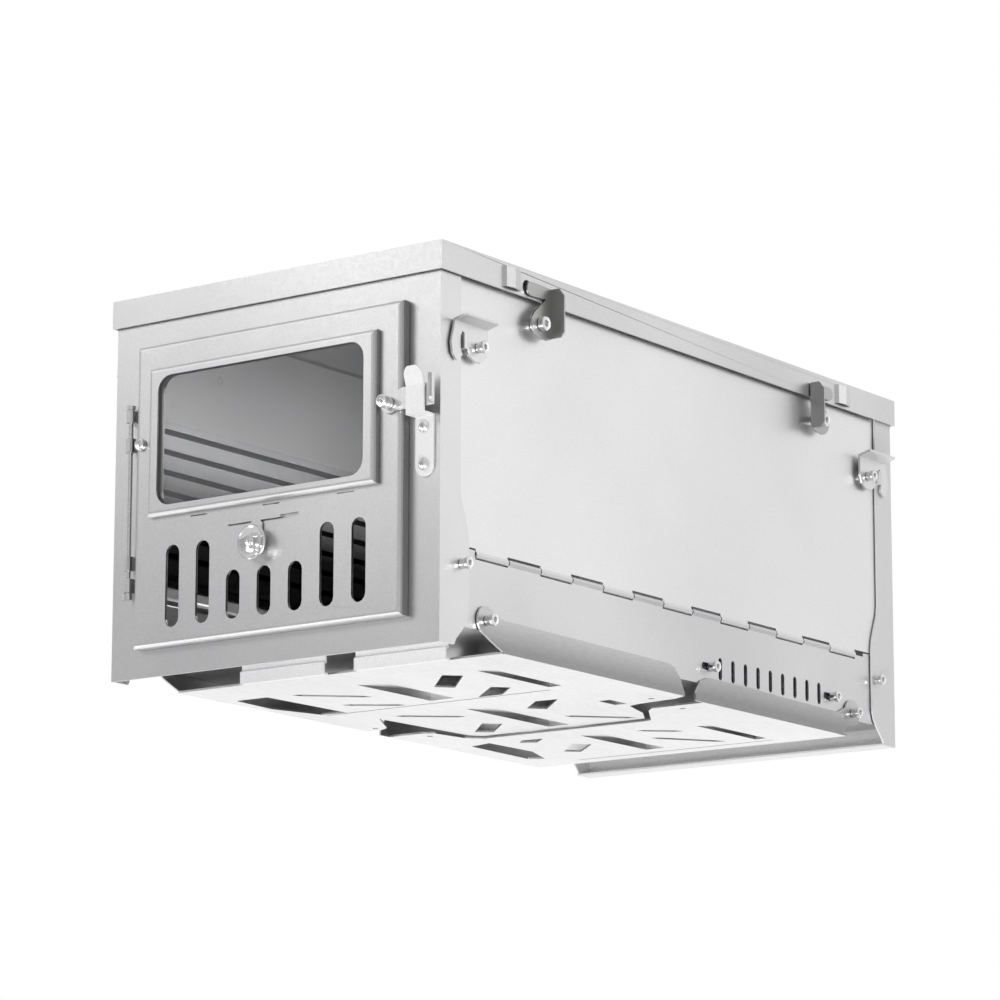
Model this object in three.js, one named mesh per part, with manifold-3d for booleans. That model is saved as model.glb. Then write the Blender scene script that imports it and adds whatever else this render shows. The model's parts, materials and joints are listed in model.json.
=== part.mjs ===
// Folding sheet-metal tent stove: a firebox with a glazed door, lift-off lid, fold-in sides and
// fold-down leg plates. Millimetres, +Z up, the door faces -Y. Each named mesh is one physical piece.
import * as THREE from 'three';
import { mergeVertices } from 'three/addons/utils/BufferGeometryUtils.js';
import Module from 'manifold-3d';

const wasm = await Module();
wasm.setup();

// ---------------------------------------------------------------- driving dimensions

const halfWidth = 100;
const halfLength = 204;
const bodyTop = 189;
const sheet = 1;
const gap = 0.3;

const lidOverhang = 2;
const lidTop = 191;
const lidRim = 14;
const frontReach = 218;
const rearReach = halfLength + lidOverhang;

const wallOuter = 98.5;
const wallInner = wallOuter - sheet;
const flangeInner = halfWidth - sheet;
const trayHalfLength = 198;
const trayBottom = 10;
const sideHalfLength = 196;

const hingeX = 97.6;
const hingeZ = 45.5;
const knuckleRadius = 1.9;
const knuckleBore = 1.1;
const hingePinRadius = 0.7;
const knuckleLength = 26;
const knucklePitch = 52.4;
const upperKnuckles = 7;
const knuckleMiddle = -4;
const hingeReach = 170;
const wallTopBesideKnuckle = hingeZ;
const wallTopUnderKnuckle = 43.2;
const wallTopAtEnds = 47.4;
const sideBottom = 48.3;

const doorHalfWidth = 82;
const doorBottom = 13.5;
const doorTop = 164;
const doorFace = -halfLength - 6;
const frameFace = doorFace - 4;
const doorScrewX = -78;
const doorPinX = -87;
const doorPinY = -208;
const latchPivotX = 75.5;
const latchPivotZ = 114.5;

const frontPivot = { y: -187, z: 39 };
const rearPivot = { y: 184.5, z: 34 };
const frontLegPivot = { y: -167, z: 15 };
const rearLegPivot = { y: 160.5, z: 13.2 };
const frontLegBottom = 1.2;
const rearLegBottom = 0.3;
const legFlangeInner = halfWidth - sheet;
const legFlangeOuter = halfWidth;

const latchPivot = { y: 128, z: 165.5 };
const hookPivot = { y: 177, z: 144 };
const latchPlateX = halfWidth + lidOverhang + 0.6;
const hookPlateX = halfWidth + 0.7;
const hookThickness = 1.2;
const screwClearance = 1.9;
const boreReach = 120;

const ventPitch = 11.8;
const ventCount = 9;
const ventFirstY = 35;
const ventBottom = 14;
const ventTop = 25.5;
const ventWidth = 3.2;
const ventKnobs = [25.5, 141.5];
const ventKnobZ = 19.5;
const ventTravel = 5.5;

const panBend = 2.4;
const doorSlotPitch = 19;
const doorSlotWidth = 8.5;

const flueCentre = { x: 0, y: 130 };
const flueRadius = 30;
const flueTop = 213;

// ---------------------------------------------------------------- materials

const steelColour = 0xd9dadb;

function metal(colour, roughness) {
  return new THREE.MeshStandardMaterial({ color: colour, roughness, metalness: 1 });
}

const satinSteel = metal(steelColour, 0.45);
const darkSteel = metal(0x8c8c8b, 0.5);
const brightSteel = metal(0xf0f0f0, 0.2);
const smokedGlass = new THREE.MeshStandardMaterial({
  color: 0x55585b, roughness: 0.08, metalness: 0, transparent: true, opacity: 0.45,
});

// ---------------------------------------------------------------- solid building

const axisX = new THREE.Vector3(1, 0, 0);
const axisY = new THREE.Vector3(0, 1, 0);
const axisZ = new THREE.Vector3(0, 0, 1);
const frontward = new THREE.Vector3(0, -1, 0);

function toSolid(geometry) {
  const bare = geometry.clone();
  bare.deleteAttribute('normal');
  bare.deleteAttribute('uv');
  const merged = mergeVertices(bare, 1e-4);
  const corners = merged.index.array;
  const kept = [];
  for (let i = 0; i < corners.length; i += 3) {
    const [a, b, c] = [corners[i], corners[i + 1], corners[i + 2]];
    if (a !== b && b !== c && c !== a) kept.push(a, b, c);
  }
  return new wasm.Manifold(new wasm.Mesh({
    numProp: 3,
    vertProperties: new Float32Array(merged.attributes.position.array),
    triVerts: new Uint32Array(kept),
  }));
}

function join(first, ...rest) {
  return rest.reduce((whole, piece) => whole.add(piece), first);
}

function cut(first, ...rest) {
  return rest.reduce((whole, piece) => whole.subtract(piece), first);
}

// A plate of the given outline, square to one axis, between two coordinates on that axis.
// Outlines are drawn in (y, z) for 'x', in (x, z) for 'y' and in (x, y) for 'z'.
function slab(axis, outline, from, to) {
  const low = Math.min(from, to);
  const high = Math.max(from, to);
  const options = { depth: high - low, bevelEnabled: false, curveSegments: 4 };
  const geometry = new THREE.ExtrudeGeometry(outline, options);
  const turn = new THREE.Matrix4();
  if (axis === 'x') turn.makeBasis(axisY, axisZ, axisX).setPosition(low, 0, 0);
  if (axis === 'y') turn.makeBasis(axisX, axisZ, frontward).setPosition(0, high, 0);
  if (axis === 'z') turn.makeBasis(axisX, axisY, axisZ).setPosition(0, 0, low);
  geometry.applyMatrix4(turn);
  return toSolid(geometry);
}

function box(x0, x1, y0, y1, z0, z1) {
  const geometry = new THREE.BoxGeometry(Math.abs(x1 - x0), Math.abs(y1 - y0), Math.abs(z1 - z0));
  geometry.translate((x0 + x1) / 2, (y0 + y1) / 2, (z0 + z1) / 2);
  return toSolid(geometry);
}

// A round piece turned from a profile of [radius, distance] points along a direction.
function turned(profile, origin, direction, segments = 12) {
  const points = profile.map(([radius, distance]) => new THREE.Vector2(radius, distance));
  const geometry = new THREE.LatheGeometry(points, segments);
  geometry.applyQuaternion(new THREE.Quaternion().setFromUnitVectors(axisY, direction));
  geometry.translate(origin.x, origin.y, origin.z);
  return toSolid(geometry);
}

function rod(origin, direction, radius, length, segments = 10) {
  return turned([[0, 0], [radius, 0], [radius, length], [0, length]], origin, direction, segments);
}

function at(x, y, z) {
  return new THREE.Vector3(x, y, z);
}

// A bore straight across the stove, through both sides.
function crossBore(y, z, radius = screwClearance) {
  return rod(at(-boreReach, y, z), axisX, radius, 2 * boreReach);
}

// ---------------------------------------------------------------- outlines

function polygon(points) {
  return new THREE.Shape(points.map(([u, v]) => new THREE.Vector2(u, v)));
}

function arc(u, v, radius, from, to, steps) {
  const points = [];
  for (let i = 0; i <= steps; i += 1) {
    const angle = from + (to - from) * (i / steps);
    points.push([u + radius * Math.cos(angle), v + radius * Math.sin(angle)]);
  }
  return points;
}

function roundedRectangle(u0, u1, v0, v1, radius) {
  const quarter = Math.PI / 2;
  const steps = radius > 5 ? 5 : 3;
  return polygon([
    ...arc(u1 - radius, v0 + radius, radius, -quarter, 0, steps),
    ...arc(u1 - radius, v1 - radius, radius, 0, quarter, steps),
    ...arc(u0 + radius, v1 - radius, radius, quarter, 2 * quarter, steps),
    ...arc(u0 + radius, v0 + radius, radius, 2 * quarter, 3 * quarter, steps),
  ]);
}

function circle(u, v, radius) {
  const sides = radius > 3 ? 20 : 10;
  return polygon(arc(u, v, radius, 0, 2 * Math.PI * (1 - 1 / sides), sides - 1));
}

// A straight slit of the given width from one end point to the other, with pointed ends.
function slit(u0, v0, u1, v1, width) {
  const run = new THREE.Vector2(u1 - u0, v1 - v0).normalize();
  const side = new THREE.Vector2(-run.y, run.x).multiplyScalar(width / 2);
  const nose = run.clone().multiplyScalar(width);
  return polygon([
    [u0, v0],
    [u0 + nose.x - side.x, v0 + nose.y - side.y],
    [u1 - nose.x - side.x, v1 - nose.y - side.y],
    [u1, v1],
    [u1 - nose.x + side.x, v1 - nose.y + side.y],
    [u0 + nose.x + side.x, v0 + nose.y + side.y],
  ]);
}

// ---------------------------------------------------------------- collecting the pieces

const stove = new THREE.Group();
stove.position.y = (frontReach - rearReach) / 2;

function piece(name, body, material) {
  const data = body.getMesh();
  const geometry = new THREE.BufferGeometry();
  geometry.setAttribute('position', new THREE.BufferAttribute(data.vertProperties, 3));
  geometry.setIndex(new THREE.BufferAttribute(data.triVerts, 1));
  geometry.computeVertexNormals();
  const mesh = new THREE.Mesh(geometry, material);
  mesh.name = name;
  stove.add(mesh);
}

function sideName(side) {
  return side > 0 ? 'right' : 'left';
}

function endName(end) {
  return end < 0 ? 'front' : 'rear';
}

// ---------------------------------------------------------------- screws and rivets

// A shoulder screw that stands out from a wall: shank, barrel and cap, seated `seat` past its inner end.
function barrelScrew(origin, direction, seat, capLength = 2.2) {
  const shank = 1.5;
  const barrel = 2.5;
  const cap = 3;
  const barrelLength = 2.6;
  const top = seat + barrelLength;
  return turned([
    [0, 0],
    [shank, 0],
    [shank, seat],
    [barrel, seat],
    [barrel, top],
    [cap, top],
    [cap, top + capLength - 0.5],
    [cap - 0.6, top + capLength],
    [0, top + capLength],
  ], origin, direction);
}

// A button-head rivet with its head outside the sheet.
function buttonRivet(origin, direction, shankLength, headRadius, headHeight) {
  const shank = 1.3;
  return turned([
    [0, 0],
    [shank, 0],
    [shank, shankLength],
    [headRadius, shankLength],
    [headRadius * 0.9, shankLength + headHeight * 0.7],
    [headRadius * 0.55, shankLength + headHeight],
    [0, shankLength + headHeight],
  ], origin, direction);
}

// ---------------------------------------------------------------- bottom tray and piano hinges

function knuckleCentres(kind) {
  const count = kind === 'upper' ? upperKnuckles : upperKnuckles - 1;
  const centres = [];
  for (let i = 0; i < count; i += 1) {
    centres.push(knuckleMiddle + (i - (count - 1) / 2) * knucklePitch);
  }
  return centres;
}

function knuckle(side, centre) {
  const reach = knuckleLength / 2 - gap;
  return rod(at(side * hingeX, centre - reach, hingeZ), axisY, knuckleRadius, 2 * reach, 8);
}

function hingeBore(side) {
  const start = at(side * hingeX, knuckleMiddle - hingeReach - gap, hingeZ);
  return rod(start, axisY, knuckleBore, 2 * (hingeReach + gap), 6);
}

function ventSlots(x0, x1, width) {
  const slots = [];
  for (let i = 0; i < ventCount; i += 1) {
    const y = ventFirstY + i * ventPitch;
    const half = width / 2;
    const outline = roundedRectangle(y - half, y + half, ventBottom, ventTop, half - 0.01);
    slots.push(slab('x', outline, x0, x1));
  }
  return slots;
}

function trayWall(side) {
  const inner = side * wallInner;
  const outer = side * wallOuter;
  const top = wallTopBesideKnuckle;
  const wall = box(inner, outer, -trayHalfLength, trayHalfLength, trayBottom, top);
  const endReach = 174.5;
  const endWalls = [-1, 1].map((end) => (
    box(inner, outer, end * endReach, end * trayHalfLength, trayBottom, wallTopAtEnds)
  ));
  const knuckles = knuckleCentres('lower').map((y) => knuckle(side, y));
  const clearances = knuckleCentres('upper').map((y) => (
    box(side * 95, side * 102, y - knuckleLength / 2, y + knuckleLength / 2, wallTopUnderKnuckle, 50)
  ));
  return cut(join(cut(wall, ...clearances), ...endWalls, ...knuckles), hingeBore(side));
}

function bottomTray() {
  const floor = box(-wallOuter, wallOuter, -trayHalfLength, trayHalfLength, trayBottom, trayBottom + sheet);
  const lipTop = 19;
  const lipInner = trayHalfLength - sheet;
  const lips = [-1, 1].map((end) => (
    box(-wallInner - 0.5, wallInner + 0.5, end * lipInner, end * trayHalfLength, trayBottom, lipTop)
  ));
  const pivots = [frontPivot, rearPivot, frontLegPivot, rearLegPivot];
  const holes = pivots.map(({ y, z }) => crossBore(y, z));
  const knobSlots = ventKnobs.map((y) => (
    slab('x', roundedRectangle(y - ventTravel - 2, y + 2, ventKnobZ - 1.9, ventKnobZ + 1.9, 1.8), 95, 101)
  ));
  const walls = [trayWall(1), trayWall(-1)];
  return cut(join(floor, ...walls, ...lips), ...holes, ...knobSlots, ...ventSlots(95, 101, ventWidth));
}

function hingePin(side) {
  const start = at(side * hingeX, knuckleMiddle - hingeReach, hingeZ);
  return rod(start, axisY, hingePinRadius, 2 * hingeReach, 6);
}

// ---------------------------------------------------------------- front and rear panels

// The return flange of an end panel: wide over the hinge line, cut back to the foot at the bottom.
function endFlange(side, end) {
  const root = halfLength - 0.5;
  const foot = 0.1;
  const top = bodyTop - 0.1;
  const outline = polygon([
    [end * root, foot],
    [end * 192.5, foot],
    [end * 191, 3],
    [end * 186, 8],
    [end * 182.5, 12.5],
    [end * 181, 17],
    [end * 181, 50],
    [end * 182, 56],
    [end * 184.5, 63],
    [end * 187, 69],
    [end * 188, 75],
    [end * 188, top],
    [end * root, top],
  ]);
  return slab('x', outline, side * flangeInner, side * halfWidth);
}

// The lanced tab that a corner hook drops over.
function hookTab(side, end) {
  const inner = end * (hookPivot.y + 9.5);
  const outer = end * (hookPivot.y + 12.5);
  return box(side * (halfWidth - 0.5), side * (halfWidth + 3.2), inner, outer, 141.5, 148.5);
}

function endPanelShell(plate, end, pivot) {
  const flanges = [endFlange(1, end), endFlange(-1, end)];
  const tabs = [hookTab(1, end), hookTab(-1, end)];
  return cut(join(plate, ...flanges, ...tabs), crossBore(pivot.y, pivot.z));
}

const doorPinLoops = [[42, 49], [127, 133]];
const doorHooks = [[53, 60], [112, 119]];
const keeperRivets = [84, 102];
const keeperCentreX = 91.75;

function doorPinBore() {
  return rod(at(doorPinX, doorPinY, 30), axisZ, 1.65, 110, 10);
}

function frontPanel() {
  const opening = slab('y', roundedRectangle(-73, 73, 20, 157, 4), -206, -200);
  const loops = doorPinLoops.map(([low, high]) => join(
    rod(at(doorPinX, doorPinY, low), axisZ, 2.3, high - low, 12),
    box(doorPinX - 2.3, doorPinX + 2.3, doorPinY, -halfLength + 0.5, low, high),
  ));
  const rivetHoles = keeperRivets.map((z) => rod(at(keeperCentreX, -206, z), axisY, 1.6, 6, 10));
  const plate = box(-halfWidth, halfWidth, -halfLength, sheet - halfLength, 0, bodyTop);
  const shell = cut(endPanelShell(plate, -1, frontPivot), opening, ...rivetHoles);
  return join(shell, ...loops.map((loop) => cut(loop, doorPinBore())));
}

// The rear panel turns in along its bottom edge as well, and stands on that flange.
function rearPanel() {
  const inner = halfLength - sheet;
  const bent = polygon([
    [halfLength, 0],
    [halfLength, bodyTop],
    [inner, bodyTop],
    [inner, sheet],
    [inner - 11, sheet],
    [inner - 11, 0],
  ]);
  return endPanelShell(slab('x', bent, -halfWidth, halfWidth), 1, rearPivot);
}

// ---------------------------------------------------------------- door

function doorAirSlots(from, to, extra) {
  const tall = 62.5;
  const short = 46;
  const bottom = 22;
  return [-3, -2, -1, 0, 1, 2, 3].map((place) => {
    const top = Math.abs(place) > 1 ? tall : short;
    const x = place * doorSlotPitch;
    const half = doorSlotWidth / 2 + extra;
    const outline = roundedRectangle(x - half, x + half, bottom - extra, top + extra, half - 0.01);
    return slab('y', outline, from, to);
  });
}

// A block whose edges round the front face are rounded over; it reaches back to the given depth.
function roundedBlock(x0, x1, z0, z1, face, back, radius) {
  const steps = 4;
  const layers = [];
  for (let i = 0; i <= steps; i += 1) {
    const angle = (Math.PI / 2) * (i / steps);
    const inset = radius * (1 - Math.sin(angle));
    const from = face + radius * (1 - Math.cos(angle));
    layers.push(box(x0 + inset, x1 - inset, from, back, z0 + inset, z1 - inset));
  }
  return wasm.Manifold.hull(layers);
}

// A sheet pan, open to the back, with its sides folded over a real bend.
function sheetPan(x0, x1, z0, z1, face, back) {
  const overlap = 1.4;
  const outside = roundedBlock(x0, x1, z0, z1, face, back, panBend);
  const inside = roundedBlock(
    x0 + sheet, x1 - sheet, z0 + sheet, z1 - sheet, face + sheet, back + overlap, panBend - sheet,
  );
  return cut(outside, inside);
}

function doorPanel() {
  const shell = sheetPan(-doorHalfWidth, doorHalfWidth, doorBottom, doorTop, doorFace, -halfLength - 0.4);
  const window = slab('y', roundedRectangle(-65.3, 62.7, 81.2, 147, 8), -215, -206);
  const damperSlot = box(-22.3, 20.9, -215, -206, 67.5, 69.5);
  const tabSlots = [-41, 4, 49].map((x) => box(x - 5, x + 5, -215, -206, 74.9, 75.5));
  const screwHoles = [
    rod(at(latchPivotX, -215, latchPivotZ), axisY, 1.8, 9, 10),
    rod(at(doorScrewX, -215, latchPivotZ), axisY, 1.6, 9, 10),
  ];
  const hooks = doorHooks.map(([low, high]) => cut(join(
    rod(at(doorPinX, doorPinY, low), axisZ, 2.3, high - low, 12),
    box(doorPinX, -doorHalfWidth + 0.5, doorFace + 3.4, doorFace + 4.3, low, high),
  ), doorPinBore()));
  const slots = doorAirSlots(-215, -206, 0);
  const face = cut(shell, window, damperSlot, ...tabSlots, ...screwHoles, ...slots);
  return join(face, ...hooks);
}

function windowFrame() {
  const opening = roundedRectangle(-64.8, 62.2, 81.7, 146.4, 8);
  const pan = sheetPan(-71, 69, 76.9, 151, frameFace, doorFace - gap);
  return cut(pan, slab('y', opening, frameFace - 1, doorFace));
}

// The glass lies in the pressed frame, between its lip and the door face.
function windowGlass() {
  return slab('y', roundedRectangle(-67.7, 65.7, 79.5, 148.5, 2), frameFace + sheet + gap, doorFace - gap);
}

function glassRetainer() {
  return cut(
    slab('y', roundedRectangle(-70, 70, 76.5, 152, 3), doorFace + sheet + gap, doorFace + 2 * sheet + gap),
    slab('y', roundedRectangle(-65.5, 63, 81, 147.2, 8), doorFace, doorFace + 3),
  );
}

function doorHingePin() {
  return turned([
    [0, 0],
    [2.6, 0],
    [2.6, 3],
    [1.3, 3],
    [1.3, 95],
    [2.4, 95],
    [2.4, 97],
    [0, 97],
  ], at(doorPinX, doorPinY, 38.5), axisZ, 12);
}

const damperKnobX = -4;
const damperKnobZ = 57;

// Sliding air damper behind the door, with its lip and finger tab outside.
function damperSlide() {
  const back = doorFace + 1.3;
  const tabFace = doorFace - 1.4;
  const plate = box(-72, 62, back, back + 1, 19, 72);
  const lip = box(-22, 10.6, tabFace, back + 0.5, 67.9, 69.1);
  const tab = slab('y', roundedRectangle(-7.4, -0.6, 53.5, 69.1, 3.3), tabFace, tabFace + 1);
  const tabHole = rod(at(damperKnobX, -213, damperKnobZ), axisY, 1.6, 3.8, 10);
  return join(cut(plate, ...doorAirSlots(-215, -206, 0.6)), lip, cut(tab, tabHole));
}

// A dished knob, screwed on through the slide's finger tab.
function damperKnob() {
  return turned([
    [0, 0],
    [1.3, 0],
    [1.3, 1.3],
    [3.4, 1.3],
    [8.1, 3.5],
    [8.5, 4],
    [8.5, 4.7],
    [7.8, 5.1],
    [6.4, 4],
    [2.9, 3.3],
    [2.9, 6.7],
    [0, 6.7],
  ], at(damperKnobX, doorFace - 0.4, damperKnobZ), frontward, 20);
}

// ---------------------------------------------------------------- door latch

// The latch lever: a boss on the pivot, a flat arm, and a finger ear bent out at the tip.
function latchLever() {
  const armFront = doorFace - 1.5;
  const armBack = doorFace - 0.5;
  const earX = 100.2;
  const earReach = 4.3;
  const outline = polygon([
    [latchPivotX, latchPivotZ - 4],
    [earX + 1, latchPivotZ - 4],
    [earX + 1, latchPivotZ + 6.5],
    [latchPivotX + 8, latchPivotZ + 6.5],
    [latchPivotX + 3, latchPivotZ + 4.6],
  ]);
  const ear = polygon([
    [earX, armBack],
    [earX, armFront - 2.4],
    [earX + earReach - 1, armFront - 5.7],
    [earX + earReach, armFront - 5.2],
    [earX + 1.2, armFront - 2],
    [earX + 1.2, armBack],
  ]);
  const earOutline = roundedRectangle(armFront - 6, armBack + 3, 111.5, 125, 3);
  const earWall = slab('z', ear, 111.5, 125).intersect(slab('x', earOutline, earX - 2, earX + 8));
  const arm = slab('y', outline, armFront, armBack);
  const boss = slab('y', circle(latchPivotX, latchPivotZ, 5), armFront, armBack);
  const hole = rod(at(latchPivotX, -frontReach, latchPivotZ), axisY, 1.8, 20, 10);
  return cut(join(arm, boss, earWall), hole);
}

function leverScrew() {
  const seat = 3.1;
  const top = -frontReach;
  return turned([
    [0, 0],
    [1.5, 0],
    [1.5, seat],
    [3, seat],
    [3, doorFace + 1.2 - top - 0.5],
    [2.4, doorFace + 1.2 - top],
    [0, doorFace + 1.2 - top],
  ], at(latchPivotX, doorFace + 1.2, latchPivotZ), frontward);
}

// The catch behind which the lever drops: a riveted strip stepped outward to a flared tongue.
function keeper() {
  const profile = polygon([
    [-204.3, 78],
    [-204.3, 108],
    [-212, 108],
    [-212, 121],
    [-215, 129.8],
    [-216, 129.4],
    [-213, 120.8],
    [-213, 107],
    [-205.3, 107],
    [-205.3, 78],
  ]);
  const half = 5.25;
  const strip = slab('x', profile, keeperCentreX - half, keeperCentreX + half);
  const shape = roundedRectangle(keeperCentreX - half, keeperCentreX + half, 78.5, 130, half - 0.05);
  const holes = keeperRivets.map((z) => rod(at(keeperCentreX, -208, z), axisY, 1.6, 6, 10));
  return cut(strip.intersect(slab('y', shape, -218, -203)), ...holes);
}

// ---------------------------------------------------------------- lid and flue collar

function lidBridge(side, end) {
  const outer = new THREE.Shape();
  outer.absellipse(side * 101.2, end * 151, 3.8, 8, 0, Math.PI * 2);
  const inner = new THREE.Shape();
  inner.absellipse(side * 101.2, end * 151, 2.7, 6.9, 0, Math.PI * 2);
  const loop = cut(slab('z', outer, 178.5, 188.5), slab('z', inner, 170, 200));
  return cut(loop, box(side * 90, side * 101.2, end * 135, end * 170, 170, 200));
}

function lidPanel() {
  const outerX = halfWidth + lidOverhang;
  const outerY = halfLength + lidOverhang;
  const rimBottom = lidTop - lidRim;
  const shell = cut(
    box(-outerX, outerX, -outerY, outerY, rimBottom, lidTop),
    box(-outerX + 1, outerX - 1, -outerY + 1, outerY - 1, rimBottom - 1, lidTop - sheet),
  );
  const corners = [[1, -1], [1, 1], [-1, -1], [-1, 1]];
  const bridges = corners.map(([side, end]) => lidBridge(side, end));
  const tongueHoles = [-1, 1].map((end) => crossBore(end * 137.5, 182, 3.8));
  const flueHole = rod(at(flueCentre.x, flueCentre.y, 185), axisZ, flueRadius + 0.5, 10, 28);
  return cut(join(shell, ...bridges), ...tongueHoles, flueHole);
}

function flueCollar() {
  const inner = flueRadius - 1.2;
  const flange = flueRadius + 6;
  const low = -4.5;
  const high = flueTop - lidTop;
  return turned([
    [inner, low],
    [flueRadius, low],
    [flueRadius, gap],
    [flange, gap],
    [flange, gap + sheet],
    [flueRadius, gap + sheet],
    [flueRadius, high],
    [inner, high],
    [inner, low],
  ], at(flueCentre.x, flueCentre.y, lidTop), axisZ, 28);
}

// ---------------------------------------------------------------- fold-in sides

function sidePanel(side) {
  const sheetBody = box(
    side * wallInner, side * wallOuter, -sideHalfLength, sideHalfLength, sideBottom, bodyTop,
  );
  const reach = knuckleLength / 2 - gap;
  const leaves = knuckleCentres('upper').flatMap((y) => [
    box(side * wallInner, side * wallOuter, y - reach, y + reach, hingeZ, sideBottom + 1),
    knuckle(side, y),
  ]);
  const holes = [-1, 1].flatMap((end) => [
    crossBore(end * latchPivot.y, latchPivot.z),
    crossBore(end * hookPivot.y, hookPivot.z),
  ]);
  return cut(join(sheetBody, ...leaves), hingeBore(side), ...holes);
}

// Ribbed inner sheet that keeps the fire off the side panel.
function heatLiner(side) {
  const bottom = 53;
  const ribs = 8;
  const pitch = 10.4;
  const outer = wallInner - gap;
  const inner = outer - 4.2;
  const thickness = 0.8;
  const outerLine = [];
  const innerLine = [];
  for (let i = 0; i < ribs; i += 1) {
    const z = bottom + i * pitch;
    outerLine.push([outer, z], [outer, z + 4.4], [inner + thickness, z + 6.2], [inner + thickness, z + 8.8]);
    innerLine.push([outer - thickness, z], [outer - thickness, z + 3.8], [inner, z + 5.6], [inner, z + 9.4]);
  }
  outerLine.push([outer, bottom + ribs * pitch]);
  innerLine.push([outer - thickness, bottom + ribs * pitch]);
  const outline = polygon([...outerLine, ...innerLine.reverse()].map(([x, z]) => [side * x, z]));
  return slab('y', outline, -185, 185);
}

// Stepped stud for a lid latch: it holds the latch plate clear of the lid rim.
function latchStud(side, end) {
  const base = wallInner + 0.1;
  const seat = latchPlateX - gap - base;
  const head = latchPlateX + sheet + gap - base;
  return turned([
    [0, 0],
    [1.6, 0],
    [1.6, wallOuter + gap - base],
    [3, wallOuter + gap - base],
    [3, seat],
    [1.6, seat],
    [1.6, head],
    [3.5, head],
    [3.5, head + 2.6],
    [2.9, head + 3.1],
    [0, head + 3.1],
  ], at(side * base, end * latchPivot.y, latchPivot.z), at(side, 0, 0));
}

function hookStud(side, end) {
  const base = wallInner + 0.1;
  const seat = hookPlateX - gap - base;
  const head = hookPlateX + hookThickness + gap - base;
  return turned([
    [0, 0],
    [1.6, 0],
    [1.6, wallOuter + gap - base],
    [3.6, wallOuter + gap - base],
    [3.6, seat],
    [1.6, seat],
    [1.6, head],
    [2.5, head],
    [2.5, head + 2],
    [2.9, head + 2],
    [2.9, head + 3.8],
    [2.3, head + 4.3],
    [0, head + 4.3],
  ], at(side * base, end * hookPivot.y, hookPivot.z), at(side, 0, 0));
}

// Draws an outline given in (u, v) from a pivot, u running towards the nearer end of the stove.
function aboutPivot(pivot, end, outline) {
  const points = outline.getPoints(4).map((p) => [end * (pivot.y + p.x), pivot.z + p.y]);
  return polygon(points);
}

function lidLatch(side, end) {
  const outline = new THREE.Shape();
  outline.moveTo(-9.5, -5.5);
  outline.lineTo(-5, -7.2);
  outline.absarc(0, 0, 7.5, -1.9, 0.7);
  outline.lineTo(-4, 13);
  outline.lineTo(8, 12.5);
  outline.absarc(8, 16, 3.5, -Math.PI / 2, Math.PI / 2);
  outline.lineTo(-9.5, 19);
  const inner = side * latchPlateX;
  const plate = slab('x', aboutPivot(latchPivot, end, outline), inner, side * (latchPlateX + sheet));
  const tip = 8.4;
  const fingerOutline = polygon([
    [side * latchPlateX, latchPivot.z - 5.5],
    [side * (latchPlateX + tip - 2), latchPivot.z - 5.5],
    [side * (latchPlateX + tip), latchPivot.z - 3],
    [side * (latchPlateX + tip), latchPivot.z + 15],
    [side * (latchPlateX + tip - 3), latchPivot.z + 19],
    [side * latchPlateX, latchPivot.z + 19],
  ]);
  const finger = slab('y', fingerOutline, end * (latchPivot.y - 9.5), end * (latchPivot.y - 8.5));
  return cut(join(plate, finger), crossBore(end * latchPivot.y, latchPivot.z));
}

function cornerHook(side, end) {
  const outline = polygon([
    [18, 10.5],
    [21, -0.5],
    [20, -6],
    [16.5, -9],
    [12.5, -6],
    [10.5, -4.5],
    [6, -5.5],
    [3, -7],
    [-2, -7],
    [-6, -4.5],
    [-7.7, 0],
    [-7.7, 10.5],
  ]);
  const mouthInner = 8.8;
  const mouthOuter = 13.9;
  const mouthStart = Math.PI * 0.14;
  const mouthEnd = -Math.PI * 0.36;
  const mouth = new THREE.Shape();
  mouth.absarc(0, 0, mouthOuter, mouthStart, mouthEnd, true);
  mouth.absarc(0, 0, mouthInner, mouthEnd, mouthStart, false);
  const x0 = side * hookPlateX;
  const x1 = side * (hookPlateX + hookThickness);
  const plate = slab('x', aboutPivot(hookPivot, end, outline), x0, x1);
  const mouthCut = slab('x', aboutPivot(hookPivot, end, mouth), side * 95, side * 110);
  const lipOutline = polygon([
    [x0, hookPivot.z + 9.6],
    [x1, hookPivot.z + 10],
    [side * (hookPlateX + 7.7), hookPivot.z + 11.8],
    [side * (hookPlateX + 7.5), hookPivot.z + 13],
    [x0, hookPivot.z + 11],
  ]);
  const lip = slab('y', lipOutline, end * (hookPivot.y - 7.7), end * (hookPivot.y + 18));
  return cut(join(cut(plate, mouthCut), lip), crossBore(end * hookPivot.y, hookPivot.z));
}

// ---------------------------------------------------------------- leg plates

function legCut(outline) {
  return slab('z', outline, -2, 6);
}

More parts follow.
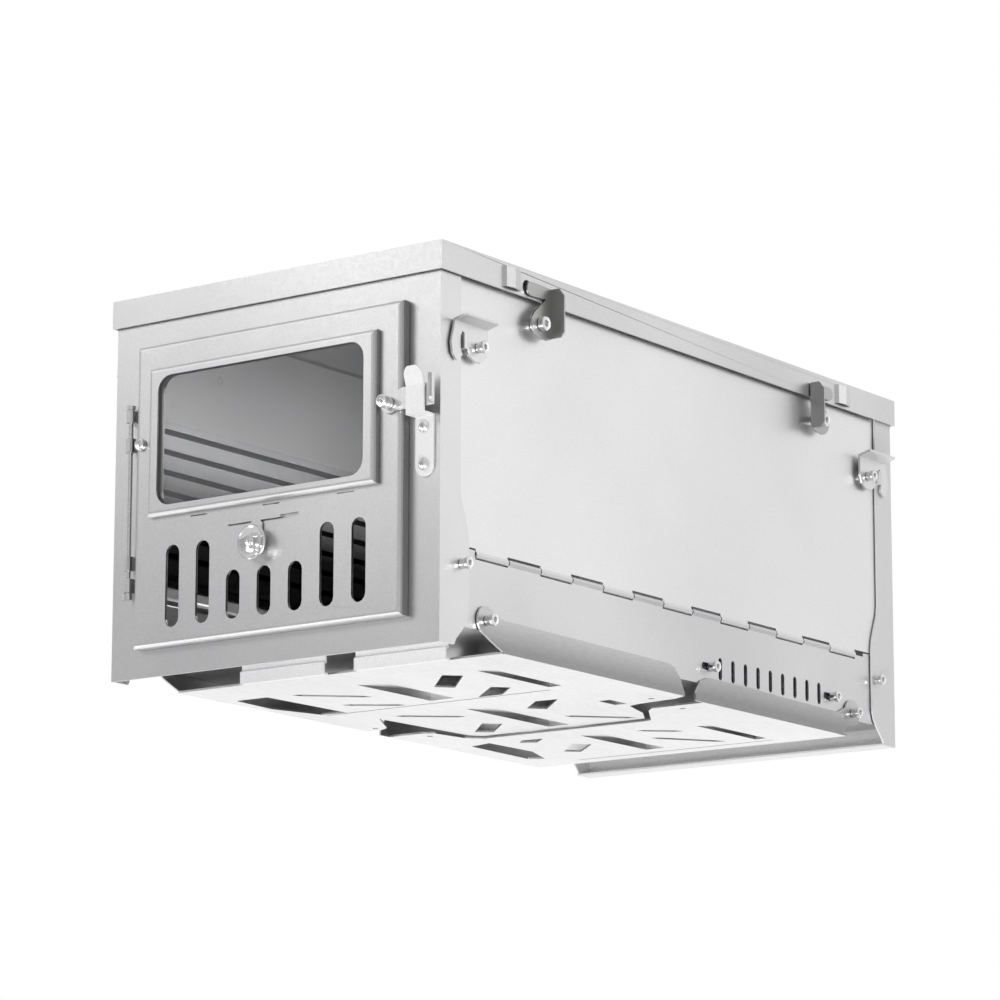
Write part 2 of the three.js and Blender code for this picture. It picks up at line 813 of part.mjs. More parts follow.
const frontLegOutline = [
  [-99.5, -154], [99.5, -154], [99.5, 0], [92, 4], [68, 7], [60, 10], [53, 32], [43, 48.5],
  [-60, 48.5], [-65, 42], [-67, 9], [-69, -30], [-85, -3], [-92, 1], [-99.5, 0],
];
const rearLegOutline = [
  [-99.5, 18], [-78, 18], [-72, 22], [-69, 44], [-62, 51.5], [41, 51.5], [46, 50], [62, 24], [68, 18],
  [99.5, 18], [99.5, 155], [-99.5, 155],
];
const cornerHoleRadius = 1.6;
const frontLegCuts = [
  polygon([[-92, -118], [-72, -118], [-70, -56], [-85, -58], [-94, -87]]),
  slit(-58, -116, -28, -89, 5),
  slit(-57, -77, -30, -58, 5),
  polygon([[15, -95], [39.5, -121], [47, -114], [22, -87]]),
  polygon([[14, -57], [38, -79], [45, -72], [29, -57]]),
  slit(-57, -33, -28, -10, 5),
  polygon([[-56, 35], [-35, 13], [-27, 20], [-48, 41]]),
  polygon([[13, -14], [30, -30], [43, -29], [20, -6]]),
  slit(14, 17, 41, 44, 5),
  slit(-85, -54.5, 57, -54.5, 1.2),
  circle(-91, -5, cornerHoleRadius),
  circle(82, -3, cornerHoleRadius),
];
const rearLegCuts = [
  polygon([[-84, 70], [-69, 66], [-68, 104], [-78, 130], [-86, 125]]),
  polygon([[-55, 74], [-49, 68], [-36, 69], [-47, 79]]),
  polygon([[-54, 114], [-34, 93], [-27, 101], [-47, 120]]),
  slit(20, 75, 39, 91, 5),
  slit(12, 100, 37, 134, 5),
  slit(-67, 144, 61, 144, 1.2),
  circle(-80, 28, cornerHoleRadius),
  circle(80, 28, cornerHoleRadius),
];

// Pressed channels in the leg plates, [left, right, front, rear]: level with the plate at the front
// end and deepest at the rear end.
const frontLegChannels = [
  [-13, 4, -122, -61], [60, 70, -122, -61], [-14, 1, -31, 43], [55, 64, -12, 4],
];
const rearLegChannels = [[-15, -1, 72, 135], [53, 62, 80, 138]];
const channelDepth = 5.5;

function channelWedge([left, right, front, rear], base, from, to) {
  const outline = polygon([[front, base - from], [rear, base + channelDepth], [rear, base - to]]);
  return slab('x', outline, left, right);
}

function pressChannels(plate, channels, under) {
  const above = under + sheet;
  const pads = channels.map((channel) => channelWedge(channel, above, 0.2, 0.2));
  const hollows = channels.map(([left, right, front, rear]) => (
    channelWedge([left + 1, right - 1, front, rear - 1], under, 0, 1)
  ));
  return cut(join(plate, ...pads), ...hollows);
}

function legFlange(side, outline) {
  return slab('x', outline, side * legFlangeInner, side * legFlangeOuter);
}

function legPlate({ outline, cuts, channels, bottom, pivot, flange }) {
  const earRadius = 7;
  const flat = slab('z', polygon(outline), bottom, bottom + sheet);
  const plate = pressChannels(flat, channels, bottom);
  const holes = cuts.map((shape) => legCut(shape));
  const flanges = [1, -1].flatMap((side) => [
    legFlange(side, polygon(flange)),
    legFlange(side, circle(pivot.y, pivot.z, earRadius)),
  ]);
  return cut(join(cut(plate, ...holes), ...flanges), crossBore(pivot.y, pivot.z));
}

const frontLegFlange = [
  [-172, 10], [-164, 6], [-152, frontLegBottom], [0, frontLegBottom], [0, 3], [-4, 10], [-9, 14.5],
  [-14, 16], [-153, 17], [-161, 19],
];
const rearLegFlange = [
  [10, rearLegBottom], [146, rearLegBottom], [155, 5], [164, 7], [154, 15.5], [146, 12],
  [22, 13.5], [15, 11], [10, 4],
];

// Short channel under the front of the tray that stiffens the sill.
function sillChannel(x0, x1) {
  const section = polygon([
    [-158.6, 9.7],
    [-158.6, 7.2],
    [-160, 6.6],
    [-160, 0.6],
    [-156.5, 0.6],
    [-156.5, 1.6],
    [-159, 1.6],
    [-159, 5.8],
    [-157.6, 6.4],
    [-157.6, 9.7],
  ]);
  return slab('x', section, x0, x1);
}

// ---------------------------------------------------------------- grate and side vent slide

function fireGrate() {
  const halfX = 88;
  const halfY = 160;
  const top = 17.3;
  const plate = box(-halfX, halfX, -halfY, halfY, top - sheet, top);
  const skirts = [-1, 1].map((side) => (
    box(side * halfX, side * (halfX - sheet), -halfY, halfY, trayBottom + sheet + gap, top)
  ));
  const rows = 9;
  const rowPitch = 34;
  const slots = [];
  for (let row = 0; row < rows; row += 1) {
    const y = (row - (rows - 1) / 2) * rowPitch;
    slots.push(box(-76, -6, y - 5, y + 5, top - 3, top + 2));
    slots.push(box(6, 76, y - 5, y + 5, top - 3, top + 2));
  }
  return cut(join(plate, ...skirts), ...slots);
}

function ventSlide() {
  const outer = wallInner - gap;
  const plate = box(outer - sheet, outer, 18, 150, 12.5, 27);
  const holes = ventKnobs.map((y) => rod(at(90, y, ventKnobZ), axisX, 1.9, 12, 10));
  return cut(plate, ...ventSlots(90, 100, ventWidth + 0.5), ...holes);
}

// ---------------------------------------------------------------- assembly

piece('bottom_tray', bottomTray(), satinSteel);
piece('front_panel', frontPanel(), satinSteel);
piece('rear_panel', rearPanel(), satinSteel);
piece('fire_grate', fireGrate(), darkSteel);
piece('sill_channel_left', sillChannel(-55, -2.8), brightSteel);
piece('sill_channel_right', sillChannel(15.6, 70.8), brightSteel);

piece('door_panel', doorPanel(), satinSteel);
piece('window_frame', windowFrame(), satinSteel);
piece('window_glass', windowGlass(), smokedGlass);
piece('glass_retainer', glassRetainer(), satinSteel);
piece('door_hinge_pin', doorHingePin(), brightSteel);
const doorScrew = buttonRivet(at(doorScrewX, doorFace + 1.4, latchPivotZ), frontward, 1.8, 3, 2.2);
piece('door_hinge_screw', doorScrew, brightSteel);
piece('damper_slide', damperSlide(), satinSteel);
piece('damper_knob', damperKnob(), brightSteel);

piece('latch_lever', latchLever(), satinSteel);
piece('latch_pivot_screw', leverScrew(), brightSteel);
piece('door_keeper', keeper(), satinSteel);
keeperRivets.forEach((z, index) => {
  const rivet = buttonRivet(at(keeperCentreX, -203, z), frontward, 2.6, 2.7, 1.7);
  piece(`keeper_rivet_${index === 0 ? 'lower' : 'upper'}`, rivet, brightSteel);
});

piece('lid_panel', lidPanel(), satinSteel);
piece('flue_collar', flueCollar(), satinSteel);

for (const side of [1, -1]) {
  const outward = at(side, 0, 0);
  const suffix = sideName(side);
  piece(`hinge_pin_${suffix}`, hingePin(side), brightSteel);
  piece(`side_panel_${suffix}`, sidePanel(side), satinSteel);
  piece(`heat_liner_${suffix}`, heatLiner(side), darkSteel);
  const flangeSeat = halfWidth + gap - wallInner - 0.1;
  const legSeat = legFlangeOuter + gap - wallInner - 0.1;
  for (const [name, pivot, seat] of [
    ['front_panel_screw', frontPivot, flangeSeat],
    ['rear_panel_screw', rearPivot, flangeSeat],
    ['front_leg_screw', frontLegPivot, legSeat],
    ['rear_leg_screw', rearLegPivot, legSeat],
  ]) {
    const start = at(side * (wallInner + 0.1), pivot.y, pivot.z);
    piece(`${name}_${suffix}`, barrelScrew(start, outward, seat), brightSteel);
  }
  for (const end of [-1, 1]) {
    const place = `${endName(end)}_${suffix}`;
    piece(`lid_latch_${place}`, lidLatch(side, end), darkSteel);
    piece(`latch_stud_${place}`, latchStud(side, end), brightSteel);
    piece(`corner_hook_${place}`, cornerHook(side, end), satinSteel);
    piece(`hook_stud_${place}`, hookStud(side, end), brightSteel);
  }
}

const frontLeg = legPlate({
  outline: frontLegOutline,
  cuts: frontLegCuts,
  channels: frontLegChannels,
  bottom: frontLegBottom,
  pivot: frontLegPivot,
  flange: frontLegFlange,
});
const rearLeg = legPlate({
  outline: rearLegOutline,
  cuts: rearLegCuts,
  channels: rearLegChannels,
  bottom: rearLegBottom,
  pivot: rearLegPivot,
  flange: rearLegFlange,
});
piece('leg_plate_front', frontLeg, satinSteel);
piece('leg_plate_rear', rearLeg, satinSteel);

piece('vent_slide', ventSlide(), darkSteel);
ventKnobs.forEach((y, index) => {
  const seat = wallOuter + gap - wallInner + sheet + gap;
  const knob = barrelScrew(at(wallInner - gap - sheet, y, ventKnobZ), axisX, seat);
  piece(`vent_knob_${index === 0 ? 'front' : 'rear'}`, knob, brightSteel);
});

export default stove;
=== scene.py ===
"""Looks for the folding tent stove.

Bevelled sheet metal, socket screws and smoked glass, with a studio floor, lights and a camera."""
import json
import math

import bmesh
import bpy
from mathutils import Matrix, Vector


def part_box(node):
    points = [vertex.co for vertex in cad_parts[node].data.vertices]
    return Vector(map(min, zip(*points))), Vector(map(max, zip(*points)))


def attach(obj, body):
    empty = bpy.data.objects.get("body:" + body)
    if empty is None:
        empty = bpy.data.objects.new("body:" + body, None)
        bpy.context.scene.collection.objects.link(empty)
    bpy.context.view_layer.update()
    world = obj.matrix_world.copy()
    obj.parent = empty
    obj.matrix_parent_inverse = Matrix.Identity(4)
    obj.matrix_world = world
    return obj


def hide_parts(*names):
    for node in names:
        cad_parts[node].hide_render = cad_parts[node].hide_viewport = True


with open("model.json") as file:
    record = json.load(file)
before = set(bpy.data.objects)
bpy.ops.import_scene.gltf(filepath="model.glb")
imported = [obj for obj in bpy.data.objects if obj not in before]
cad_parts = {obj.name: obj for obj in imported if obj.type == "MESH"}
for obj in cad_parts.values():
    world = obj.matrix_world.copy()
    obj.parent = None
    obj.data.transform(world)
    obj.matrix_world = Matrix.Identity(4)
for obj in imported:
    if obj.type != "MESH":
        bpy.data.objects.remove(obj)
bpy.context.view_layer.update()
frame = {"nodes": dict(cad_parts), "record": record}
nodes = frame["nodes"]
MM = 0.001

# ------------------------------------------------------------------ driving values

# the photograph's viewing angle, in degrees; the camera's place in metres, its lens in mm
CAMERA_AZIMUTH = 36.077
CAMERA_ELEVATION = -11.832
CAMERA_ROLL = 0.093
CAMERA_PLACE = Vector((1.25421, -1.73485, -0.33618))
CAMERA_LENS = 152.44
SENSOR_WIDTH = 36.0

FLOOR_HEIGHT = -0.9
FLOOR_SIZE = 14.0

BEND_RADIUS = 0.45 * MM
EDGE_RADIUS = 0.2 * MM
BEVEL_ANGLE = math.radians(35)
FLAT_ANGLE = math.radians(0.5)

SIDES = ("right", "left")
ENDS = ("front", "rear")
FRONTWARD = (0, -1, 0)

# screw heads: the socket's reach to its flats, its depth and the rim's chamfer
SOCKET = 1.25 * MM
SOCKET_DEPTH = 1.5 * MM
HEAD_CHAMFER = 0.35 * MM
RING_STEPS = 36
SPLIT_ANGLE = math.radians(32)

# heights in metres: the liners are painted black below the first and plain above the second, a
# painted shade that keeps the firebox behind the slots dark
LINER_SHADE_HEIGHTS = (0.085, 0.125)
LINER_SHADE_TONE = 0.03
# the leg plates' rims carry painted shade: dark below the first height and about half as dark above
# the second
LEG_RIM_SHADE_HEIGHTS = (0.004, 0.018)
RIM_SHADE_EASE = 0.55

WHITE = (1.0, 1.0, 1.0)
BLACK = (0.0, 0.0, 0.0)

# the studio that the metal reflects, darker in front of the stove than behind it
WORLD_FRONT = (0.42, 0.42, 0.43)
WORLD_REAR = (0.95, 0.95, 0.95)
WORLD_STRENGTH = 0.92

# name, place, target, size in metres and power in watts
LIGHTS = (
    ("side_panel_light", (2.6, 1.6, 0.9), (0, 0.0, 0.1), (2.0, 1.4), 4),
    ("front_light", (-0.75, -1.35, 0.75), (0, -0.2, 0.15), (0.7, 0.5), 2.2),
    ("under_light", (-1.3, 1.9, -0.55), (0, 0, 0), (1.6, 1.0), 3),
    ("firebox_light", (0.06, 0.0, 0.17), (-0.09, 0.0, 0.10), (0.3, 0.03), 0.11),
    ("door_bend_light", (-0.75, -0.45, -0.8), (0, -0.2, 0.05), (0.8, 0.5), 2.2),
    ("sill_light", (0.45, -0.75, -0.45), (0, 0, 0), (0.4, 0.3), 4),
    ("hinge_light", (0.3, 1.25, -0.8), (0.1, 0, 0.04), (1.0, 0.6), 1.8),
)


# ------------------------------------------------------------------ materials

def new_material(name):
    material = bpy.data.materials.new(name)
    material.use_nodes = True
    tree = material.node_tree
    shader = tree.nodes["Principled BSDF"]
    return material, tree, shader


def object_coordinates(tree, scale=(1, 1, 1)):
    coordinates = tree.nodes.new("ShaderNodeTexCoord")
    mapping = tree.nodes.new("ShaderNodeMapping")
    mapping.inputs["Scale"].default_value = scale
    tree.links.new(coordinates.outputs["Object"], mapping.inputs["Vector"])
    return mapping.outputs["Vector"]


def noise(tree, vector, scale, detail=2.0, roughness=0.5):
    texture = tree.nodes.new("ShaderNodeTexNoise")
    texture.inputs["Scale"].default_value = scale
    texture.inputs["Detail"].default_value = detail
    texture.inputs["Roughness"].default_value = roughness
    tree.links.new(vector, texture.inputs["Vector"])
    return texture.outputs["Fac"]


def grey(tone):
    return (tone, tone, tone)


def ramp(tree, factor, low, high, low_colour, high_colour):
    node = tree.nodes.new("ShaderNodeValToRGB")
    node.color_ramp.elements[0].position = low
    node.color_ramp.elements[1].position = high
    node.color_ramp.elements[0].color = (*low_colour, 1)
    node.color_ramp.elements[1].color = (*high_colour, 1)
    tree.links.new(factor, node.inputs["Fac"])
    return node.outputs["Color"]


def between(tree, factor, low, high):
    node = tree.nodes.new("ShaderNodeMapRange")
    node.inputs["To Min"].default_value = low
    node.inputs["To Max"].default_value = high
    tree.links.new(factor, node.inputs["Value"])
    return node.outputs["Result"]


def bump(tree, shader, relief, strength, distance):
    node = tree.nodes.new("ShaderNodeBump")
    node.inputs["Strength"].default_value = strength
    node.inputs["Distance"].default_value = distance
    tree.links.new(relief, node.inputs["Height"])
    tree.links.new(node.outputs["Normal"], shader.inputs["Normal"])


def facing(tree, axis):
    """How far a face of the piece, as built, points along an axis, from 0 to 1 (either way)."""
    coordinates = tree.nodes.new("ShaderNodeTexCoord")
    split = tree.nodes.new("ShaderNodeSeparateXYZ")
    tree.links.new(coordinates.outputs["Normal"], split.inputs["Vector"])
    size = tree.nodes.new("ShaderNodeMath")
    size.operation = "ABSOLUTE"
    tree.links.new(split.outputs[axis], size.inputs[0])
    return size.outputs["Value"]


def multiply(tree, first, second):
    node = tree.nodes.new("ShaderNodeMix")
    node.data_type = "RGBA"
    node.blend_type = "MULTIPLY"
    node.inputs["Factor"].default_value = 1.0
    tree.links.new(first, node.inputs["A"])
    tree.links.new(second, node.inputs["B"])
    return node.outputs["Result"]


def height(tree, low, high):
    """0 at the low height of the piece, as built, and 1 at the high one."""
    split = tree.nodes.new("ShaderNodeSeparateXYZ")
    tree.links.new(object_coordinates(tree), split.inputs["Vector"])
    share = tree.nodes.new("ShaderNodeMapRange")
    share.inputs["From Min"].default_value = low
    share.inputs["From Max"].default_value = high
    tree.links.new(split.outputs["Z"], share.inputs["Value"])
    return share.outputs["Result"]


def painted_shade_below(tree, low, high):
    """Painted shade: black below the low height, fading out at the high one."""
    return ramp(tree, height(tree, low, high), 0.0, 1.0, grey(LINER_SHADE_TONE), WHITE)


def fade(tree, tone, low, high):
    """Fades a tone about half way to white between two heights."""
    node = tree.nodes.new("ShaderNodeMix")
    node.data_type = "RGBA"
    share = ramp(tree, height(tree, low, high), 0.0, 1.0, BLACK, grey(RIM_SHADE_EASE))
    tree.links.new(share, node.inputs["Factor"])
    tree.links.new(tone, node.inputs["A"])
    node.inputs["B"].default_value = (*WHITE, 1)
    return node.outputs["Result"]


def sheet_steel(
    name, dark, light, roughness, metallic=1.0, grain=(1, 1, 1), grain_scale=1400,
    painted_side_shade=1.0, side_shade_from=0.55, shade_easing_heights=None, shaded_below_between=None,
):
    """Bead-blasted or brushed sheet: a fine grain, a slow drift in tone and a drift in polish.

    painted_side_shade darkens the rims that face left and right, as painted shade. side_shade_from
    is how squarely a rim has to face that way. shade_easing_heights is a pair of heights that this
    painted shade eases between, and shaded_below_between a pair that a painted black shade fades
    out between."""
    material, tree, shader = new_material(name)
    place = object_coordinates(tree)
    tone = ramp(tree, noise(tree, place, 7.0, 3.0), 0.35, 0.68, dark, light)
    fine = noise(tree, object_coordinates(tree, grain), grain_scale, 2.0, 0.6)
    speckle = ramp(tree, fine, 0.25, 0.75, grey(0.86), WHITE)
    tone = multiply(tree, tone, speckle)
    # painted shade: rims that face left and right are darkened, eased towards white between two
    # heights where those are given
    if painted_side_shade < 1.0:
        rim = ramp(tree, facing(tree, "X"), side_shade_from, 0.95, WHITE, grey(painted_side_shade))
        if shade_easing_heights:
            rim = fade(tree, rim, *shade_easing_heights)
        tone = multiply(tree, tone, rim)
    # painted shade: black below a height, fading out above it
    if shaded_below_between:
        tone = multiply(tree, tone, painted_shade_below(tree, *shaded_below_between))
    tree.links.new(tone, shader.inputs["Base Color"])
    polish = noise(tree, object_coordinates(tree, grain), grain_scale * 0.3, 3.0)
    rough_range = between(tree, polish, roughness - 0.07, roughness + 0.08)
    tree.links.new(rough_range, shader.inputs["Roughness"])
    shader.inputs["Metallic"].default_value = metallic
    bump(tree, shader, fine, 0.35, 0.06 * MM)
    return material


def turned_steel(name, colour, roughness):
    """Machined screw steel: bright, with faint tooling marks."""
    material, tree, shader = new_material(name)
    place = object_coordinates(tree)
    tone = noise(tree, place, 900.0, 2.0)
    darker = tuple(0.86 * c for c in colour)
    tree.links.new(ramp(tree, tone, 0.3, 0.7, darker, colour), shader.inputs["Base Color"])
    rough_range = between(tree, tone, roughness - 0.04, roughness + 0.05)
    tree.links.new(rough_range, shader.inputs["Roughness"])
    shader.inputs["Metallic"].default_value = 1.0
    bump(tree, shader, noise(tree, place, 5000.0, 1.0), 0.06, 0.02 * MM)
    return material


def smoked_glass():
    """Dark heat-resistant glass with faint smudges."""
    material, tree, shader = new_material("smoked_glass")
    place = object_coordinates(tree)
    smudge = noise(tree, place, 22.0, 3.0)
    tone = ramp(tree, smudge, 0.3, 0.75, (0.090, 0.092, 0.095), (0.12, 0.122, 0.125))
    tree.links.new(tone, shader.inputs["Base Color"])
    tree.links.new(between(tree, smudge, 0.03, 0.09), shader.inputs["Roughness"])
    shader.inputs["IOR"].default_value = 1.9
    shader.inputs["Alpha"].default_value = 0.42
    return material


satin = sheet_steel("satin_steel", (0.70, 0.70, 0.705), (0.79, 0.79, 0.79), 0.36)
# the door's and window frame's rims that face left and right are painted darker: painted shade
door_satin = sheet_steel(
    "door_satin_steel", (0.70, 0.70, 0.705), (0.79, 0.79, 0.79), 0.36, painted_side_shade=0.42,
)
lid_satin = sheet_steel("lid_satin_steel", (0.66, 0.66, 0.665), (0.74, 0.74, 0.74), 0.34)
side_satin = sheet_steel("side_satin_steel", (0.80, 0.80, 0.81), (0.87, 0.87, 0.87), 0.40)
# a darker copy of the satin steel, so the tray wall reads as in shade: painted shade
tray_satin = sheet_steel("tray_satin_steel", (0.64, 0.64, 0.65), (0.76, 0.76, 0.765), 0.36)
# paler and less metallic than the satin steel, so the sill channels, in shade under the front
# panel, and the keeper read bright: painted light
blasted = sheet_steel(
    "blasted_steel_with_painted_light", (0.90, 0.90, 0.905), (0.95, 0.95, 0.95), 0.5, metallic=0.2,
)
# paler and less metallic, so the rear panel's inner face, which lies in shade, reads light: painted
# light; its rims that face left and right are painted darker: painted shade
rear_satin = sheet_steel(
    "rear_satin_steel", (0.90, 0.90, 0.905), (0.95, 0.95, 0.95), 0.5, metallic=0.3, painted_side_shade=0.80,
)
# the leg plates' rims that face left and right are painted darker, less so higher up: painted shade
leg_satin = sheet_steel(
    "leg_satin_steel", (0.78, 0.78, 0.785), (0.86, 0.86, 0.86), 0.34, grain=(1, 0.12, 1),
    painted_side_shade=0.40, side_shade_from=0.88, shade_easing_heights=LEG_RIM_SHADE_HEIGHTS,
)
latch_steel = sheet_steel(
    "latch_steel", (0.40, 0.395, 0.39), (0.55, 0.545, 0.54), 0.34,
    grain=(1, 1, 6), grain_scale=900,
)
grate_steel = sheet_steel(
    "grate_steel", (0.10, 0.10, 0.11), (0.17, 0.17, 0.18), 0.5,
    grain=(1, 8, 1), grain_scale=700,
)
# the liner is painted black low down, a painted shade that keeps the firebox behind the slots dark
liner_steel = sheet_steel(
    "liner_steel", (0.50, 0.50, 0.51), (0.66, 0.66, 0.67), 0.30,
    grain=(1, 8, 1), grain_scale=700, shaded_below_between=LINER_SHADE_HEIGHTS,
)
screw_steel = turned_steel("screw_steel", (0.86, 0.86, 0.86), 0.2)
knob_steel = turned_steel("knob_steel", (0.90, 0.90, 0.90), 0.1)
glass = smoked_glass()


def paint(piece, material):
    piece.data.materials.clear()
    piece.data.materials.append(material)


def smooth(mesh):
    for face in mesh.polygons:
        face.use_smooth = True


# ------------------------------------------------------------------ the CAD pieces that stay

NODE_MATERIALS = {
    "window_glass": glass,
    "lid_latch": latch_steel,
    "heat_liner": liner_steel,
    "side_panel": side_satin,
    "leg_plate": leg_satin,
    "sill_channel": blasted,
    "door_keeper": blasted,
    "rear_panel": rear_satin,
    "bottom_tray": tray_satin,
    "lid_panel": lid_satin,
    "door_panel": door_satin,
    "window_frame": door_satin,
    "fire_grate": grate_steel,
    "vent_slide": grate_steel,
    "damper_knob": knob_steel,
}
SCREW_WORDS = ("screw", "stud", "rivet", "vent_knob", "pin")


def node_material(name):
    """Screws and pins first: rear_panel_screw is a screw, not a panel."""
    if any(word in name for word in SCREW_WORDS):
        return screw_steel
    for start, material in NODE_MATERIALS.items():
        if name.startswith(start):
            return material
    return satin


def soften(piece, width):
    """Merges the flat facets, then rounds the sharp edges."""
    flatten = piece.modifiers.new("flats", "DECIMATE")
    flatten.decimate_type = "DISSOLVE"
    flatten.angle_limit = FLAT_ANGLE
    bevel = piece.modifiers.new("bends", "BEVEL")
    bevel.width = width
    bevel.segments = 2
    bevel.limit_method = "ANGLE"
    bevel.angle_limit = BEVEL_ANGLE
    bevel.use_clamp_overlap = True
    normals = piece.modifiers.new("normals", "WEIGHTED_NORMAL")
    normals.keep_sharp = True


def finish_cad_node(name, piece):
    paint(piece, node_material(name))
    smooth(piece.data)
    fine = name in ("window_glass", "door_hinge_pin") or name.startswith("hinge_pin")
    soften(piece, EDGE_RADIUS if fine else BEND_RADIUS)


for node_name, node in nodes.items():
    finish_cad_node(node_name, node)


# ------------------------------------------------------------------ socket screws

def body_of(node_name):
    for body, members in frame["record"]["behaviour"]["bodies"].items():
        if node_name in members:
            return body
    raise ValueError(node_name)


def hexagon_reach(angle, flat_radius):
    sixth = math.pi / 3
    return flat_radius / math.cos(angle % sixth - sixth / 2)


def ring_mesh(name, rings, origin, direction):
    """A closed round piece from rings of (shape, radius, distance along its axis)."""
    mesh = bmesh.new()
    turn = Vector((0, 0, 1)).rotation_difference(Vector(direction)).to_matrix().to_4x4()
    place = Matrix.Translation(Vector(origin)) @ turn
    loops = []
    for shape, radius, distance in rings:
        loop = []
        for step in range(RING_STEPS):
            angle = 2 * math.pi * step / RING_STEPS
            reach = hexagon_reach(angle, radius) if shape == "hex" else radius
            corner = Vector((reach * math.cos(angle), reach * math.sin(angle), distance))
            loop.append(mesh.verts.new(place @ corner))
        loops.append(loop)
    for lower, upper in zip(loops, loops[1:]):
        for step in range(RING_STEPS):
            after = (step + 1) % RING_STEPS
            mesh.faces.new((lower[step], lower[after], upper[after], upper[step]))
    mesh.faces.new(list(reversed(loops[0])))
    mesh.faces.new(loops[-1])
    data = bpy.data.meshes.new(name)
    mesh.to_mesh(data)
    mesh.free()
    piece = bpy.data.objects.new(name, data)
    bpy.context.scene.collection.objects.link(piece)
    smooth(data)
    edges = piece.modifiers.new("edges", "EDGE_SPLIT")
    edges.split_angle = SPLIT_ANGLE
    return piece


def socket_rings(sections, socket):
    """Adds a chamfered rim and a hexagonal socket to the last (radius, distance) section."""
    radius, top = sections[-1]
    rings = [("round", r, d) for r, d in sections[:-1]]
    return rings + [
        ("round", radius, top - HEAD_CHAMFER),
        ("round", radius - HEAD_CHAMFER, top),
        ("round", socket + 0.55 * MM, top),
        ("hex", socket, top - 0.12 * MM),
        ("hex", socket, top - SOCKET_DEPTH),
        ("round", 0.15 * MM, top - SOCKET_DEPTH - 0.35 * MM),
    ]


def socket_screw(node_name, direction, sections, socket=SOCKET):
    """Stands for a CAD screw, with the same tail, seat and reach, and a socket in its head.

    sections are (radius, distance) pairs. The distance is from the tail, or from the head where
    it is below zero."""
    low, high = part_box(node_name)
    axis = max(range(3), key=lambda i: abs(direction[i]))
    tail = low[axis] if direction[axis] > 0 else high[axis]
    origin = (low + high) / 2
    origin[axis] = tail
    length = high[axis] - low[axis]
    placed = [(r, d if d >= 0 else length + d) for r, d in sections]
    placed.append((sections[-1][0], length))
    piece = ring_mesh(node_name + "_turned", socket_rings(placed, socket), origin, direction)
    paint(piece, node_material(node_name))
    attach(piece, body_of(node_name))
    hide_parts(node_name)


def in_mm(sections):
    return [(radius * MM, distance * MM) for radius, distance in sections]


def barrel_sections(seat, barrel=2.5 * MM, cap=2.9 * MM, cap_length=2.0 * MM, shank=1.5 * MM):
    """Shank to the seat, barrel to the cap and the cap up to the head."""
    return [
        (shank, 0.0),
        (shank, seat),
        (barrel, seat),
        (barrel, -cap_length - 0.25 * MM),
        (cap - 0.3 * MM, -cap_length),
        (cap, -cap_length + 0.3 * MM),
        (cap, -0.8 * MM),
    ]


PIVOT_SCREW = barrel_sections(2.7 * MM)
VENT_KNOB = barrel_sections(2.6 * MM)
LATCH_STUD = in_mm([
    (1.6, 0.0), (1.6, 1.2), (3.0, 1.2), (3.0, 4.7), (1.6, 4.7), (1.6, -3.1), (3.5, -3.1),
    (3.5, -1.0),
])
HOOK_STUD = in_mm([
    (1.6, 0.0), (1.6, 1.2), (3.6, 1.2), (3.6, 2.8), (1.6, 2.8), (1.6, -4.3), (2.5, -4.3),
    (2.5, -2.4), (2.7, -2.0), (2.9, -1.8), (2.9, -0.8),
])
LATCH_SCREW = in_mm([
    (1.5, 0.0), (1.5, 3.1), (3.0, 3.1), (3.0, 4.2), (2.5, 4.5), (2.5, 5.6), (3.0, 5.9), (3.0, -0.8),
])
HINGE_SCREW = in_mm([(1.3, 0.0), (1.3, 1.8), (3.0, 1.8), (3.0, 2.6), (2.8, -0.9)])
DISHED_KNOB = in_mm([
    (1.3, 0.0), (1.3, 1.3), (3.4, 1.3), (5.6, 2.1), (8.1, 3.5), (8.5, 4.0), (8.5, 4.7),
    (8.2, 5.1), (7.8, 5.1), (7.4, 4.8), (6.4, 4.0), (3.6, 3.3), (2.9, 3.3), (2.9, -0.9),
])
KEEPER_RIVET = in_mm([(1.3, 0.0), (1.3, 2.6), (2.7, 2.6), (2.7, 3.2), (2.4, -0.7)])

for side in SIDES:
    outward = (1 if side == "right" else -1, 0, 0)
    for stem in ("front_panel_screw", "rear_panel_screw", "front_leg_screw", "rear_leg_screw"):
        socket_screw(f"{stem}_{side}", outward, PIVOT_SCREW)
    for end in ENDS:
        socket_screw(f"latch_stud_{end}_{side}", outward, LATCH_STUD, 1.5 * MM)
        socket_screw(f"hook_stud_{end}_{side}", outward, HOOK_STUD)

for end in ENDS:
    socket_screw(f"vent_knob_{end}", (1, 0, 0), VENT_KNOB)

socket_screw("latch_pivot_screw", FRONTWARD, LATCH_SCREW)
socket_screw("door_hinge_screw", FRONTWARD, HINGE_SCREW, 1.0 * MM)
socket_screw("damper_knob", FRONTWARD, DISHED_KNOB, 1.3 * MM)
for level in ("lower", "upper"):
    socket_screw(f"keeper_rivet_{level}", FRONTWARD, KEEPER_RIVET, 0.9 * MM)


# ------------------------------------------------------------------ floor, light and camera

def make_floor():
    bpy.ops.mesh.primitive_plane_add(size=FLOOR_SIZE, location=(0, 0, FLOOR_HEIGHT))
    floor = bpy.context.object
    floor.name = "floor"
    material, tree, shader = new_material("floor_white")
    tone = noise(tree, object_coordinates(tree), 0.6, 1.0)
    tone = ramp(tree, tone, 0.2, 0.8, grey(0.86), grey(0.9))
    tree.links.new(tone, shader.inputs["Base Color"])
    shader.inputs["Roughness"].default_value = 0.9
    paint(floor, material)


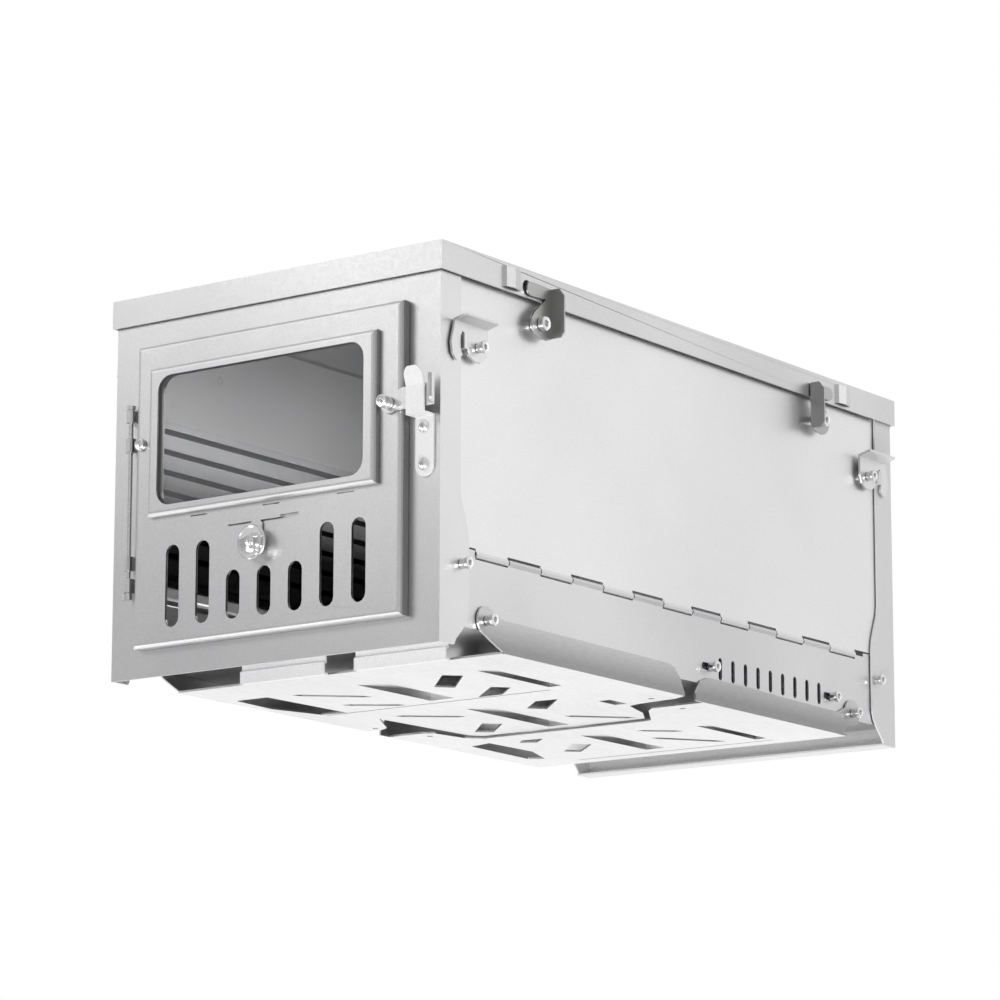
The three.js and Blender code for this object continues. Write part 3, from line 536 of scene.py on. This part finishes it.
def make_world():
    """White to the camera; a soft studio gradient in what the metal reflects."""
    world = bpy.data.worlds.new("studio")
    bpy.context.scene.world = world
    world.use_nodes = True
    tree = world.node_tree
    background = tree.nodes["Background"]
    coordinates = tree.nodes.new("ShaderNodeTexCoord")
    split = tree.nodes.new("ShaderNodeSeparateXYZ")
    tree.links.new(coordinates.outputs["Generated"], split.inputs["Vector"])
    along = tree.nodes.new("ShaderNodeMapRange")
    along.inputs["From Min"].default_value = -1.0
    along.inputs["From Max"].default_value = 1.0
    tree.links.new(split.outputs["Y"], along.inputs["Value"])
    shade = ramp(tree, along.outputs["Result"], 0.0, 0.62, WORLD_FRONT, WORLD_REAR)
    tree.links.new(shade, background.inputs["Color"])
    background.inputs["Strength"].default_value = WORLD_STRENGTH
    plain = tree.nodes.new("ShaderNodeBackground")
    plain.inputs["Color"].default_value = (*WHITE, 1)
    plain.inputs["Strength"].default_value = 1.0
    path = tree.nodes.new("ShaderNodeLightPath")
    mix = tree.nodes.new("ShaderNodeMixShader")
    tree.links.new(path.outputs["Is Camera Ray"], mix.inputs["Fac"])
    tree.links.new(background.outputs["Background"], mix.inputs[1])
    tree.links.new(plain.outputs["Background"], mix.inputs[2])
    tree.links.new(mix.outputs["Shader"], tree.nodes["World Output"].inputs["Surface"])


def area_light(name, place, target, size, energy):
    data = bpy.data.lights.new(name, "AREA")
    data.shape = "RECTANGLE"
    data.size, data.size_y = size
    data.energy = energy
    light = bpy.data.objects.new(name, data)
    light.visible_camera = False
    light.location = place
    light.rotation_euler = (Vector(target) - Vector(place)).to_track_quat("-Z", "Y").to_euler()
    bpy.context.scene.collection.objects.link(light)


def make_camera():
    azimuth = math.radians(CAMERA_AZIMUTH)
    elevation = math.radians(CAMERA_ELEVATION)
    back = Vector((
        math.sin(azimuth) * math.cos(elevation),
        -math.cos(azimuth) * math.cos(elevation),
        math.sin(elevation),
    ))
    level = Vector((0, 0, 1)).cross(back).normalized()
    upright = back.cross(level)
    roll = math.radians(CAMERA_ROLL)
    right = math.cos(roll) * level + math.sin(roll) * upright
    up = math.cos(roll) * upright - math.sin(roll) * level
    data = bpy.data.cameras.new("camera")
    data.lens = CAMERA_LENS
    data.sensor_width = SENSOR_WIDTH
    data.clip_end = 100
    camera = bpy.data.objects.new("camera", data)
    camera.matrix_world = Matrix((right, up, back)).transposed().to_4x4()
    camera.location = CAMERA_PLACE
    bpy.context.scene.collection.objects.link(camera)
    bpy.context.scene.camera = camera


make_floor()
make_world()
for light in LIGHTS:
    area_light(*light)
make_camera()
bpy.context.scene.view_settings.view_transform = "Standard"
